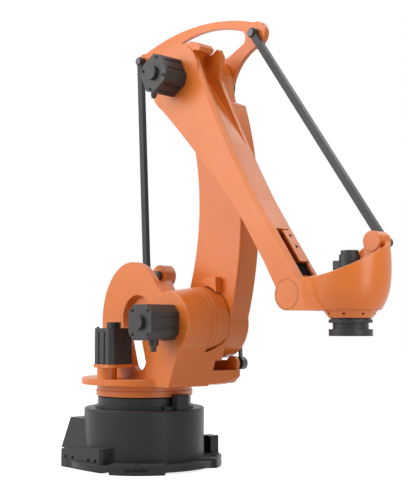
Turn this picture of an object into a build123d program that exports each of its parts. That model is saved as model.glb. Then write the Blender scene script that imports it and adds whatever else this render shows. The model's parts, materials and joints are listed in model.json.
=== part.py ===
# Four-axis palletizing robot arm on a round bolted base.
# Lengths are in millimetres and angles in degrees.
# The swivel axis stands upright through the origin, which is on the floor face of the base.
# The arm reaches along +X, and the side with the motors faces -Y.
import os
from math import cos, radians, sin

from build123d import *

os.makedirs("parts", exist_ok=True)

# Axes of the arm, at the pose in which it stands
shoulder_x = 312
shoulder_z = 610
lower_arm_length = 1035
lower_arm_lean = -3
forearm_length = 1143
forearm_pitch = -54.8
tool_reach = 213
front_pivot_x = 241
front_pivot_z = 190
rear_pivot_x = -506
rear_pivot_z = 222

# Levels across the arm
drum_near = -141
drum_split = -22
gear_far = 62
forearm_half = 62
arm_near = 68
arm_far = 178
rod_near = 161
rod_thick = 22
plate_near = 188
plate_thick = 20
post_near = 248
post_thick = 34
wrist_half = 97
ear_inner = 58

# Sizes shared by several pieces
pin_r = 11
pin_fit = 0.5
side_gap = 3
eye_r = 22
bar_width = 30
cap_r = 17
cap_thick = 5
seat = 1

# Axes that follow from the sizes above
arm_angle = 90 - lower_arm_lean
elbow_x = shoulder_x + lower_arm_length * cos(radians(arm_angle))
elbow_z = shoulder_z + lower_arm_length * sin(radians(arm_angle))
wrist_x = elbow_x + forearm_length * cos(radians(forearm_pitch))
wrist_z = elbow_z + forearm_length * sin(radians(forearm_pitch))
tool_x = wrist_x + tool_reach
post_x = shoulder_x + rear_pivot_x
post_z = shoulder_z + rear_pivot_z
link_rear_x = elbow_x + rear_pivot_x
link_rear_z = elbow_z + rear_pivot_z
link_front_x = elbow_x + front_pivot_x
link_front_z = elbow_z + front_pivot_z
lug_x = wrist_x + front_pivot_x
lug_z = wrist_z + front_pivot_z
rod_far = rod_near + rod_thick
plate_far = plate_near + plate_thick


def side(y, x=0, z=0):
    """Upright plane along the reach, seen from the motor side."""
    return Plane(origin=(x, y, z), x_dir=(1, 0, 0), z_dir=(0, -1, 0))


def tilted(x, y, z, angle):
    """Upright plane whose first axis points along a member at an angle."""
    run = (cos(radians(angle)), 0, sin(radians(angle)))
    return Plane(origin=(x, y, z), x_dir=run, z_dir=(0, -1, 0))


def floor(z, x=0, y=0):
    """Level plane at a height."""
    return Plane(origin=(x, y, z), x_dir=(1, 0, 0), z_dir=(0, 0, 1))


# Base casting: round body on a foot ring with four pads and a squared rear plinth
base_r = 260
base_top = 247
base_bevel = 4
foot_out = 76
foot_step = 14
foot_lift = 8
foot_thick = 24
pad_depth = 110
pad_width = 225
pad_height = 38
notch_width = 92
notch_depth = 14
notch_low = 14
notch_height = 14
anchor_inset = 36
anchor_hole_r = 13.5
anchor_pocket_r = 23
anchor_pocket_rise = 30
anchor_count = 4
plinth_front = 87
plinth_out = 41
plinth_height = 98
plinth_rear_height = 66
plinth_corner = 106
plinth_edge = 12
base_wall = 40
base_roof = 45
swivel_bore_r = 120
lug_block_x = 118
lug_block_len = 60
lug_block_out = 22
lug_block_depth = 48
lug_block_top = 112
foot_r = base_r + foot_out
plinth_half = base_r + plinth_out
plinth_rear = base_r + plinth_out - foot_lift / 2

with BuildPart() as base_casting:
    with BuildSketch(floor(foot_lift)):
        Circle(foot_r - foot_step)
    extrude(amount=foot_thick)
    with BuildSketch(floor(0)):
        with PolarLocations(foot_r - pad_depth / 2, anchor_count, start_angle=45):
            Rectangle(pad_depth, pad_width)
        Circle(foot_r, mode=Mode.INTERSECT)
    extrude(amount=pad_height)
    with BuildSketch(floor(notch_low)):
        with PolarLocations(foot_r, anchor_count, start_angle=45):
            Rectangle(2 * notch_depth, notch_width)
    extrude(amount=notch_height, mode=Mode.SUBTRACT)
    with BuildSketch(floor(0)):
        with BuildLine():
            Polyline(
                (plinth_front - plinth_edge, -plinth_half),
                (plinth_corner - plinth_rear, -plinth_half),
                (-plinth_rear, plinth_corner - plinth_half),
                (-plinth_rear, plinth_half - plinth_corner),
                (plinth_corner - plinth_rear, plinth_half),
                (plinth_front - plinth_edge, plinth_half),
                (plinth_front, plinth_half - plinth_edge),
                (plinth_front, plinth_edge - plinth_half),
                close=True,
            )
        make_face()
    extrude(amount=plinth_height)
    with BuildSketch(side(plinth_half)):
        with BuildLine():
            Polyline(
                (-plinth_rear, plinth_rear_height),
                (plinth_front, plinth_height),
                (-plinth_rear, plinth_height),
                close=True,
            )
        make_face()
    extrude(amount=2 * plinth_half, mode=Mode.SUBTRACT)
    with BuildSketch(floor(0)):
        with Locations((lug_block_x, base_r + lug_block_out)):
            Rectangle(lug_block_len, lug_block_depth)
    extrude(amount=lug_block_top)
    with BuildSketch(floor(0)):
        Circle(base_r)
    extrude(amount=base_top)
    chamfer(base_casting.faces().sort_by(Axis.Z)[-1].edges(), length=base_bevel)
    with BuildSketch(floor(0)):
        Circle(base_r - base_wall)
    extrude(amount=base_top - base_roof, mode=Mode.SUBTRACT)
    with BuildSketch(floor(0)):
        Circle(swivel_bore_r)
    extrude(amount=base_top, mode=Mode.SUBTRACT)
    with BuildSketch(floor(0)):
        with PolarLocations(foot_r - anchor_inset, anchor_count, start_angle=45):
            Circle(anchor_hole_r)
    extrude(amount=lug_block_top, mode=Mode.SUBTRACT)
base_casting.part.label = "base_casting"
export_step(base_casting.part, "parts/base_casting.step")

# Connector housing on the sloping top of the plinth, with sloping sides
housing_front = -60
housing_inset = 2
housing_tuck = 13
housing_corner = 25
housing_rise = 132
housing_slope = 16
housing_half = base_r - housing_tuck
housing_rear = plinth_rear - housing_inset

with BuildPart() as connector_housing:
    with BuildSketch(floor(plinth_rear_height)):
        with BuildLine():
            Polyline(
                (housing_front, housing_half),
                (housing_corner - housing_rear, housing_half),
                (-housing_rear, housing_half - housing_corner),
                (-housing_rear, housing_corner - housing_half),
                (housing_corner - housing_rear, -housing_half),
                (housing_front, -housing_half),
                close=True,
            )
        make_face()
    extrude(amount=housing_rise, taper=housing_slope)
    with BuildSketch(floor(plinth_rear_height)):
        Circle(base_r)
    extrude(amount=housing_rise, mode=Mode.SUBTRACT)
    with BuildSketch(side(plinth_half)):
        with BuildLine():
            Polyline(
                (-plinth_rear, 0),
                (plinth_front, 0),
                (plinth_front, plinth_height),
                (-plinth_rear, plinth_rear_height),
                close=True,
            )
        make_face()
    extrude(amount=2 * plinth_half, mode=Mode.SUBTRACT)
    with BuildSketch(floor(plinth_rear_height)):
        with PolarLocations(foot_r - anchor_inset, anchor_count, start_angle=45):
            Circle(anchor_pocket_r)
    extrude(amount=anchor_pocket_rise, mode=Mode.SUBTRACT)
connector_housing.part.label = "connector_housing"
export_step(connector_housing.part, "parts/connector_housing.step")

# Neck ring that carries the swivel bearing
neck_r = 202
neck_top = 294
neck_foot_r = 214
neck_foot = 10

with BuildPart() as neck_ring:
    with BuildSketch(floor(base_top)):
        Circle(neck_r)
        Circle(swivel_bore_r, mode=Mode.SUBTRACT)
    extrude(amount=neck_top - base_top)
    with BuildSketch(floor(base_top)):
        Circle(neck_foot_r)
        Circle(swivel_bore_r, mode=Mode.SUBTRACT)
    extrude(amount=neck_foot)
neck_ring.part.label = "neck_ring"
export_step(neck_ring.part, "parts/neck_ring.step")

# Fixed stop of the swivel, standing on the base in front of the neck, with a low heel
stop_gap = 6
stop_width = 60
stop_depth = 36
stop_top = 311
stop_heel = 45
stop_heel_depth = 20
stop_heel_rise = 15
collar_r = 210

with BuildPart() as swivel_stop:
    with BuildSketch(floor(base_top, x=collar_r + stop_gap + stop_depth / 2)):
        Rectangle(stop_depth, stop_width)
    extrude(amount=stop_top - base_top)
    with BuildSketch(floor(base_top, x=collar_r + stop_gap + stop_heel_depth / 2)):
        with Locations((0, -(stop_width + stop_heel) / 2)):
            Rectangle(stop_heel_depth, stop_heel)
    extrude(amount=stop_heel_rise)
swivel_stop.part.label = "swivel_stop"
export_step(swivel_stop.part, "parts/swivel_stop.step")

# Turntable at the foot of the column: collar, round plate and raised centre ring
collar_gap = 5
collar_band_r = 206
collar_band = 24
plate_bottom = 349
plate_top = 376
turn_r = 273
turn_edge = 4
ring_r = 118
ring_top = 388
ring_wall = 22
tongue_half = 145
tongue_far = 282

# Column casting: body, shoulder drum, rear arch, rear post and front toe
body_rear = 176
body_front = 318
front_limit = 480
front_flare = 0.275
front_lean = 0.41
body_far = 35
body_waist_x = 152
body_waist_z = 532
body_knee_z = 450
body_brow_x = 405
body_brow_z = 560
drum_near_r = 127
drum_edge = 4
drum_split_r = 142
split_edge = 3
gear_far_r = 153
rib_rear_x = 345
rib_low_z = 455
rib_top_z = 520
toe_far = 168
toe_tip_x = 388
toe_tip_lift = 11
toe_nose_x = 419
toe_nose_z = 388
toe_floor = 414
toe_wall = 18
toe_back = 285
toe_roof = 453
toe_crest_x = 345
spring_foot_x = 388
spring_foot_z = 440
spring_y = 206
foot_eye_r = 31
arch_set = 5
arch_thick = 28
arch_x = 73
arch_z = 622
arch_half = 199
arch_rise = 245
arch_nape_x = 140
arch_nape_z = 850
arch_end_x = 277
arch_end_z = 728
arch_foot_x = -103
arch_hole_x = 114
arch_hole_z = 630
arch_hole_r = 84
arch_flare = 12
arch_slot_x = 128
arch_slot_z = 452
arch_slot_r = 43
web_rear_x = 20
web_front_x = 200
web_low_z = 686
web_top_z = 735
web_thick = 50
arch_near = drum_near + arch_set
arch_far = arch_near + arch_thick
boss_r = 52
boss_far = 308
post_foot_front = 118
post_foot_rear = -120
post_neck = 32
post_mid_z = 600
post_mid_x = -66
post_mid_half = 62

front_normal = (1, -front_flare, -front_lean)
front_plane = Plane(origin=(body_front, drum_near, plate_bottom), z_dir=front_normal)

with BuildPart() as column_casting:
    with BuildSketch(floor(neck_top + collar_gap)):
        Circle(collar_r)
    extrude(amount=collar_band)
    with BuildSketch(floor(neck_top + collar_gap)):
        Circle(collar_band_r)
    extrude(amount=plate_bottom - neck_top - collar_gap)
    with BuildSketch(floor(plate_bottom)):
        Circle(turn_r)
        with Locations((0, tongue_far / 2)):
            Rectangle(2 * tongue_half, tongue_far)
    extrude(amount=plate_top - plate_bottom)
    chamfer(column_casting.faces().sort_by(Axis.Z)[-1].outer_wire().edges(), length=turn_edge)
    with BuildSketch(floor(plate_top)):
        Circle(ring_r)
    extrude(amount=ring_top - plate_top)
    with BuildSketch(side(body_far)):
        with BuildLine():
            Polyline(
                (body_rear, plate_bottom),
                (front_limit, plate_bottom),
                (front_limit, rib_top_z),
                (shoulder_x, shoulder_z),
                (body_waist_x, body_waist_z),
                (body_rear, body_knee_z),
                close=True,
            )
        make_face()
    extrude(amount=body_far - drum_near)
    with BuildSketch(side(gear_far)):
        with BuildLine():
            Polyline(
                (rib_rear_x, rib_low_z),
                (front_limit, rib_low_z),
                (front_limit, rib_top_z),
                (body_brow_x, body_brow_z),
                close=True,
            )
        make_face()
    extrude(amount=gear_far - body_far)
    with BuildSketch(side(toe_far)):
        with BuildLine():
            Polyline(
                (body_rear, plate_bottom),
                (body_front, plate_bottom),
                (toe_tip_x, plate_bottom + toe_tip_lift),
                (toe_nose_x, toe_nose_z),
                (toe_nose_x, toe_floor),
                (toe_back, toe_floor),
                (toe_back, toe_roof),
                (body_rear, toe_roof),
                close=True,
            )
        make_face()
    extrude(amount=toe_far - body_far)
    with BuildSketch(front_plane):
        Rectangle(2 * front_limit, 2 * front_limit)
    extrude(amount=front_limit, mode=Mode.SUBTRACT)
    with BuildSketch(side(toe_far)):
        with BuildLine():
            Polyline(
                (toe_back, toe_floor),
                (toe_nose_x, toe_floor),
                (spring_foot_x, spring_foot_z),
                (toe_crest_x, toe_roof),
                (toe_back, toe_roof),
                close=True,
            )
        make_face()
        with Locations((spring_foot_x, spring_foot_z)):
            Circle(foot_eye_r)
    extrude(amount=toe_wall)
    with BuildSketch(side(drum_near, shoulder_x, shoulder_z)):
        Circle(drum_near_r - drum_edge)
    with BuildSketch(side(drum_near + drum_edge, shoulder_x, shoulder_z)):
        Circle(drum_near_r)
    with BuildSketch(side(drum_split - split_edge, shoulder_x, shoulder_z)):
        Circle(drum_split_r)
    with BuildSketch(side(drum_split, shoulder_x, shoulder_z)):
        Circle(drum_split_r - split_edge)
    loft(ruled=True)
    with BuildSketch(side(gear_far, shoulder_x, shoulder_z)):
        Circle(gear_far_r + seat)
    extrude(amount=gear_far - drum_split, mode=Mode.SUBTRACT)
    with BuildSketch(side(arch_far)):
        with Locations((arch_x, arch_z)):
            Ellipse(arch_half, arch_rise)
        with BuildLine():
            Polyline(
                (arch_foot_x, plate_top),
                (body_rear + seat, plate_top),
                (body_rear + seat, body_knee_z),
                (shoulder_x, shoulder_z),
                (arch_end_x, arch_end_z),
                (arch_nape_x, arch_nape_z),
                (arch_x - arch_half, arch_z),
                close=True,
            )
        make_face()
        with BuildSketch(mode=Mode.SUBTRACT):
            with Locations((arch_hole_x, arch_hole_z)):
                Circle(arch_hole_r)
            with Locations((arch_slot_x, arch_slot_z)):
                Circle(arch_slot_r)
            make_hull()
    extrude(amount=arch_thick)
    with BuildSketch(side(arch_near, arch_hole_x, arch_hole_z)):
        Circle(arch_hole_r + arch_flare)
    with BuildSketch(side(arch_far, arch_hole_x, arch_hole_z)):
        Circle(arch_hole_r)
    loft(mode=Mode.SUBTRACT)
    with BuildSketch(side(arch_far + web_thick)):
        with BuildLine():
            Polyline(
                (web_rear_x, web_top_z),
                (web_rear_x, web_low_z),
                (web_front_x, web_low_z),
                (shoulder_x, shoulder_z),
                (web_front_x, web_top_z),
                close=True,
            )
        make_face()
    extrude(amount=web_thick)
    with BuildSketch(side(post_near + post_thick)):
        with BuildLine():
            Polyline(
                (post_foot_rear, plate_top),
                (post_foot_front, plate_top),
                (post_mid_x + post_mid_half, post_mid_z),
                (post_x + post_neck, post_z),
                (post_x - post_neck, post_z),
                (post_mid_x - post_mid_half, post_mid_z),
                close=True,
            )
        make_face()
    extrude(amount=post_thick)
    with BuildSketch(side(boss_far, post_x, post_z)):
        Circle(boss_r)
    extrude(amount=boss_far - post_near)
    with BuildSketch(side(boss_far, post_x, post_z)):
        Circle(pin_r)
    extrude(amount=boss_far - post_near, mode=Mode.SUBTRACT)
    with BuildSketch(floor(base_top)):
        Circle(swivel_bore_r - pin_fit)
    extrude(amount=neck_top + collar_gap - base_top)
    with BuildSketch(floor(base_top)):
        Circle(ring_r - ring_wall)
    extrude(amount=plate_bottom - base_top, mode=Mode.SUBTRACT)
column_casting.part.label = "column_casting"
export_step(column_casting.part, "parts/column_casting.step")

# Shoulder gearbox between the drum and the lower arm
spigot_r = 92
spigot_gap = 4
spigot_depth = 28
gear_ring = 24
gear_ring_r = drum_split_r + (gear_far_r - drum_split_r) * gear_ring / (gear_far - drum_split)

with BuildPart() as shoulder_gearbox:
    with BuildSketch(side(drum_split, shoulder_x, shoulder_z)):
        Circle(drum_split_r - split_edge)
    with BuildSketch(side(drum_split + split_edge, shoulder_x, shoulder_z)):
        Circle(drum_split_r)
    with BuildSketch(side(drum_split + gear_ring - split_edge, shoulder_x, shoulder_z)):
        Circle(gear_ring_r)
    with BuildSketch(side(drum_split + gear_ring, shoulder_x, shoulder_z)):
        Circle(gear_ring_r - split_edge)
    with BuildSketch(side(drum_split + gear_ring + split_edge, shoulder_x, shoulder_z)):
        Circle(gear_ring_r)
    with BuildSketch(side(gear_far, shoulder_x, shoulder_z)):
        Circle(gear_far_r)
    loft(ruled=True)
    with BuildSketch(side(gear_far, shoulder_x, shoulder_z)):
        Circle(spigot_r + pin_fit)
    extrude(amount=spigot_depth + spigot_gap, mode=Mode.SUBTRACT)
shoulder_gearbox.part.label = "shoulder_gearbox"
export_step(shoulder_gearbox.part, "parts/shoulder_gearbox.step")

# Motors share a squared body with cut corners and cooling grooves along its sides
groove_share = 0.3
groove_width = 9
groove_depth = 4
motor_end_plate = 16
motor_cap_r = 30
motor_cap_out = 16


def motor_section(size, corner, turn=0):
    """Outline across a motor body, with two grooves in each side."""
    Rectangle(size, size, rotation=turn)
    chamfer(vertices(), corner)
    with PolarLocations(size / 2, 4, start_angle=turn):
        with GridLocations(size, groove_share * size, 1, 2):
            Rectangle(2 * groove_depth, groove_width, mode=Mode.SUBTRACT)


# Swivel motor, upright on a pedestal beside the arch
swivel_motor_x = 44
swivel_motor_y = -206
swivel_motor_size = 126
swivel_motor_corner = 16
pedestal_r = 42
pedestal_back = 18
pedestal_out = 20
motor_flange = 132
motor_flange_thick = 14
pedestal_top = 423
swivel_motor_top = 587
swivel_cap_top = 612
pedestal_x = swivel_motor_x - pedestal_back
pedestal_y = swivel_motor_y - pedestal_out

with BuildPart() as swivel_pedestal:
    with BuildSketch(floor(plate_top, pedestal_x, pedestal_y)):
        Circle(pedestal_r)
    extrude(amount=pedestal_top - plate_top)
    with BuildSketch(floor(pedestal_top, swivel_motor_x, swivel_motor_y)):
        Rectangle(motor_flange, motor_flange)
        chamfer(vertices(), swivel_motor_corner)
    extrude(amount=motor_flange_thick)
swivel_pedestal.part.label = "swivel_pedestal"
export_step(swivel_pedestal.part, "parts/swivel_pedestal.step")

swivel_motor_bottom = pedestal_top + motor_flange_thick

with BuildPart() as swivel_motor:
    with BuildSketch(floor(swivel_motor_bottom, swivel_motor_x, swivel_motor_y)):
        motor_section(swivel_motor_size, swivel_motor_corner)
    extrude(amount=swivel_motor_top - swivel_motor_bottom)
    with BuildSketch(floor(swivel_motor_top - motor_end_plate, swivel_motor_x, swivel_motor_y)):
        Rectangle(swivel_motor_size, swivel_motor_size)
        chamfer(vertices(), swivel_motor_corner)
    extrude(amount=motor_end_plate)
swivel_motor.part.label = "swivel_motor"
export_step(swivel_motor.part, "parts/swivel_motor.step")

with BuildPart() as swivel_motor_cap:
    with BuildSketch(floor(swivel_motor_top, swivel_motor_x, swivel_motor_y)):
        Circle(motor_cap_r)
    extrude(amount=swivel_cap_top - swivel_motor_top)
swivel_motor_cap.part.label = "swivel_motor_cap"
export_step(swivel_motor_cap.part, "parts/swivel_motor_cap.step")

# Shoulder motor on the near end of the drum
shoulder_motor_end = -286
shoulder_motor_size = 142
shoulder_motor_corner = 30
plug_r = 20
plug_drop = 22
plug_tip_r = 12
plug_tip_drop = 24
plug_y = -214

with BuildPart() as shoulder_motor:
    with BuildSketch(side(drum_near, shoulder_x, shoulder_z)):
        motor_section(shoulder_motor_size, shoulder_motor_corner)
    extrude(amount=drum_near - shoulder_motor_end)
    with BuildSketch(side(shoulder_motor_end + motor_end_plate, shoulder_x, shoulder_z)):
        Rectangle(shoulder_motor_size, shoulder_motor_size)
        chamfer(vertices(), shoulder_motor_corner)
    extrude(amount=motor_end_plate)
shoulder_motor.part.label = "shoulder_motor"
export_step(shoulder_motor.part, "parts/shoulder_motor.step")

with BuildPart() as shoulder_motor_cap:
    with BuildSketch(side(shoulder_motor_end, shoulder_x, shoulder_z)):
        Circle(motor_cap_r)
    extrude(amount=motor_cap_out)
shoulder_motor_cap.part.label = "shoulder_motor_cap"
export_step(shoulder_motor_cap.part, "parts/shoulder_motor_cap.step")

shoulder_motor_floor = shoulder_z - shoulder_motor_size / 2

with BuildPart() as shoulder_motor_plug:
    with BuildSketch(floor(shoulder_motor_floor - plug_drop, shoulder_x, plug_y)):
        Circle(plug_r)
    extrude(amount=plug_drop)
    with BuildSketch(floor(shoulder_motor_floor - plug_drop, shoulder_x, plug_y)):
        Circle(plug_tip_r)
    extrude(amount=-plug_tip_drop)
shoulder_motor_plug.part.label = "shoulder_motor_plug"
export_step(shoulder_motor_plug.part, "parts/shoulder_motor_plug.step")

# Pin of the rear rod in the post, with a spacer and a cap
spacer_r = 24

with BuildPart() as post_pin:
    with BuildSketch(side(boss_far, post_x, post_z)):
        Circle(pin_r)
    extrude(amount=boss_far - rod_near + side_gap)
    with BuildSketch(side(post_near, post_x, post_z)):
        Circle(spacer_r)
    extrude(amount=post_near - rod_far - side_gap)
    with BuildSketch(side(rod_near - side_gap, post_x, post_z)):
        Circle(cap_r)
    extrude(amount=cap_thick)
post_pin.part.label = "post_pin"
export_step(post_pin.part, "parts/post_pin.step")

# Lower pin of the gas spring in the toe
spring_eye = 26
spring_pin_r = 10

with BuildPart() as spring_foot_pin:
    with BuildSketch(side(spring_y + spring_eye / 2 + side_gap, spring_foot_x, spring_foot_z)):
        Circle(spring_pin_r)
    extrude(amount=spring_y + spring_eye / 2 + side_gap - toe_far)
    with BuildSketch(
        side(spring_y + spring_eye / 2 + side_gap + cap_thick, spring_foot_x, spring_foot_z)
    ):
        Circle(cap_r)
    extrude(amount=cap_thick)
spring_foot_pin.part.label = "spring_foot_pin"
export_step(spring_foot_pin.part, "parts/spring_foot_pin.step")

# Lower arm: bowed casting between the shoulder and the elbow
arm_hub_r = 149
arm_head_r = 114
arm_bulge = 239
arm_bulge_at = 430
arm_step_at = 908
arm_step = 190
arm_neck_at = 940
arm_neck = 127
arm_waist = 6
arm_waist_at = 560
arm_rear_low_at = 100
arm_rear_low = 107
arm_rear_high_at = 1000
arm_rear_high = 98
arm_edge_r = 9
elbow_shaft_r = 58

with BuildPart() as lower_arm:
    with BuildSketch(tilted(shoulder_x, arm_far, shoulder_z, arm_angle)):
        with BuildLine():
            ThreePointArc((0, -arm_hub_r), (arm_bulge_at, -arm_bulge), (arm_step_at, -arm_step))
            Line((arm_step_at, -arm_step), (arm_neck_at, -arm_neck))
            Line((arm_neck_at, -arm_neck), (lower_arm_length, seat - arm_head_r))
            Line((lower_arm_length, seat - arm_head_r), (lower_arm_length, 0))
            Line((lower_arm_length, 0), (arm_rear_high_at, arm_rear_high))
            ThreePointArc(
                (arm_rear_high_at, arm_rear_high),
                (arm_waist_at, arm_waist),
                (arm_rear_low_at, arm_rear_low),
            )
            Line((arm_rear_low_at, arm_rear_low), (0, 0))
            Line((0, 0), (0, -arm_hub_r))
        make_face()
        Circle(arm_hub_r)
        with Locations((lower_arm_length, 0)):
            Circle(arm_head_r)
            Circle(elbow_shaft_r, mode=Mode.SUBTRACT)
    extrude(amount=arm_far - arm_near)
    arm_front = lower_arm.edges().filter_by(GeomType.CIRCLE).sort_by(Axis.X)[-2:]
    fillet(arm_front, radius=arm_edge_r)
    with BuildSketch(side(arm_near, shoulder_x, shoulder_z)):
        Circle(spigot_r)
    extrude(amount=arm_near - gear_far + spigot_depth)
lower_arm.part.label = "lower_arm"
export_step(lower_arm.part, "parts/lower_arm.step")

# Stop lug on the near face of the lower arm, with a slanted tail
stop_lug_low = 118
stop_lug_high = 182
stop_lug_front = -108
stop_lug_rear = -44
stop_lug_tail = -16
stop_lug_out = 34
stop_lug_cut = 10
stop_lug_clear = 7
stop_lug_edge = 5

with BuildPart() as lower_arm_stop:
    with BuildSketch(tilted(shoulder_x, arm_near, shoulder_z, arm_angle)):
        with BuildLine():
            Polyline(
                (stop_lug_low, stop_lug_front),
                (stop_lug_high, stop_lug_front),
                (stop_lug_high, stop_lug_rear),
                (stop_lug_high - stop_lug_cut, stop_lug_tail),
                (stop_lug_low, stop_lug_tail),
                close=True,
            )
        make_face()
        Circle(gear_far_r + stop_lug_clear, mode=Mode.SUBTRACT)
    extrude(amount=stop_lug_out)
    chamfer(lower_arm_stop.faces().sort_by(Axis.Y)[0].edges().sort_by(Axis.Z)[-3:], length=stop_lug_edge)
lower_arm_stop.part.label = "lower_arm_stop"
export_step(lower_arm_stop.part, "parts/lower_arm_stop.step")

# Elbow shaft through the head of the lower arm
shaft_near = 30
shaft_far = 226
shaft_cap_r = 72
shaft_cap = 10

with BuildPart() as elbow_shaft:
    with BuildSketch(side(shaft_far, elbow_x, elbow_z)):
        Circle(elbow_shaft_r)
    extrude(amount=shaft_far - shaft_near)
    with BuildSketch(side(shaft_far + shaft_cap, elbow_x, elbow_z)):
        Circle(shaft_cap_r)
    extrude(amount=shaft_cap)
elbow_shaft.part.label = "elbow_shaft"
export_step(elbow_shaft.part, "parts/elbow_shaft.step")

# Upper pin of the gas spring on the far face of the lower arm
spring_head_at = 300
spring_head_side = -60
spring_arm = tilted(shoulder_x, 0, shoulder_z, arm_angle)
spring_head = spring_arm.from_local_coords((spring_head_at, spring_head_side, 0))

with BuildPart() as spring_head_pin:
    with BuildSketch(side(spring_y + spring_eye / 2 + side_gap, spring_head.X, spring_head.Z)):
        Circle(spring_pin_r)
    extrude(amount=spring_y + spring_eye / 2 + side_gap - arm_far)
    with BuildSketch(
        side(spring_y + spring_eye / 2 + side_gap + cap_thick, spring_head.X, spring_head.Z)
    ):
        Circle(cap_r)
    extrude(amount=cap_thick)
spring_head_pin.part.label = "spring_head_pin"
export_step(spring_head_pin.part, "parts/spring_head_pin.step")

# Gas spring that balances the lower arm: rod below, barrel above
spring_run_x = spring_head.X - spring_foot_x
spring_run_z = spring_head.Z - spring_foot_z
spring_length = (spring_run_x**2 + spring_run_z**2) ** 0.5
spring_up = (spring_run_x / spring_length, 0, spring_run_z / spring_length)
spring_rod_r = 9
spring_bore_r = 14
spring_barrel_r = 22
spring_rod_len = 330
spring_barrel_len = 285
spring_eye_r = 27
spring_crown = 32
spring_wall = 8
foot_line = Plane(origin=(spring_foot_x, spring_y, spring_foot_z), x_dir=(0, 1, 0), z_dir=spring_up)
head_line = Plane(origin=(spring_head.X, spring_y, spring_head.Z), x_dir=(0, 1, 0), z_dir=spring_up)

with BuildPart() as spring_rod:
    with BuildSketch(foot_line):
        Circle(spring_rod_r)
    extrude(amount=spring_rod_len)
    with BuildSketch(side(spring_y + spring_eye / 2, spring_foot_x, spring_foot_z)):
        Circle(spring_eye_r)
    extrude(amount=spring_eye)
    with BuildSketch(side(spring_y + spring_eye / 2, spring_foot_x, spring_foot_z)):
        Circle(spring_pin_r + pin_fit)
    extrude(amount=spring_eye, mode=Mode.SUBTRACT)
spring_rod.part.label = "spring_rod"
export_step(spring_rod.part, "parts/spring_rod.step")

with BuildPart() as spring_barrel:
    with BuildSketch(head_line.offset(-spring_crown)):
        Circle(spring_barrel_r)
    extrude(amount=spring_crown - spring_barrel_len)
    with BuildSketch(head_line):
        Rectangle(spring_eye, spring_eye)
    extrude(amount=-spring_crown - spring_wall)
    with BuildSketch(head_line.offset(-spring_crown - spring_wall)):
        Circle(spring_bore_r)
    extrude(amount=-spring_barrel_len, mode=Mode.SUBTRACT)
    with BuildSketch(side(spring_y + spring_eye / 2, spring_head.X, spring_head.Z)):
        Circle(spring_eye_r)
    extrude(amount=spring_eye)
    with BuildSketch(side(spring_y + spring_barrel_r, spring_head.X, spring_head.Z)):
        Circle(spring_pin_r + pin_fit)
    extrude(amount=2 * spring_barrel_r, mode=Mode.SUBTRACT)
spring_barrel.part.label = "spring_barrel"
export_step(spring_barrel.part, "parts/spring_barrel.step")

# Level link: plate on the far side of the elbow that carries both rods
link_hub_r = 92
link_front_r = 54
link_rear_r = 42
link_boss_far = 214
link_step = 8
link_step_r = 8
link_crest_x = -140
link_crest_z = 310
link_nape_x = 154
link_nape_z = 269
link_rear_top_x = -512
link_rear_top_z = 252
link_front_top_x = 264
link_front_top_z = 234
link_leg_out_x = 268
link_leg_out_z = 141
link_leg_mid_x = 150
link_leg_mid_z = 81
link_leg_in_x = 100
link_leg_in_z = 0
link_heel_x = -40
link_heel_z = -82
link_tail_x = -508
link_tail_z = 181
window_rear_x = -330
window_rear_z = 226
window_rear_low = 188
window_crest_x = -80
window_crest_z = 273
window_front_x = 142
window_front_z = 229
window_brow_x = 178
window_brow_z = 200
window_toe_x = 172
window_toe_z = 164
window_leg_x = 74
window_leg_z = 122
window_hub_x = -60
window_hub_z = 112
link_hub_near = 183

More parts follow.
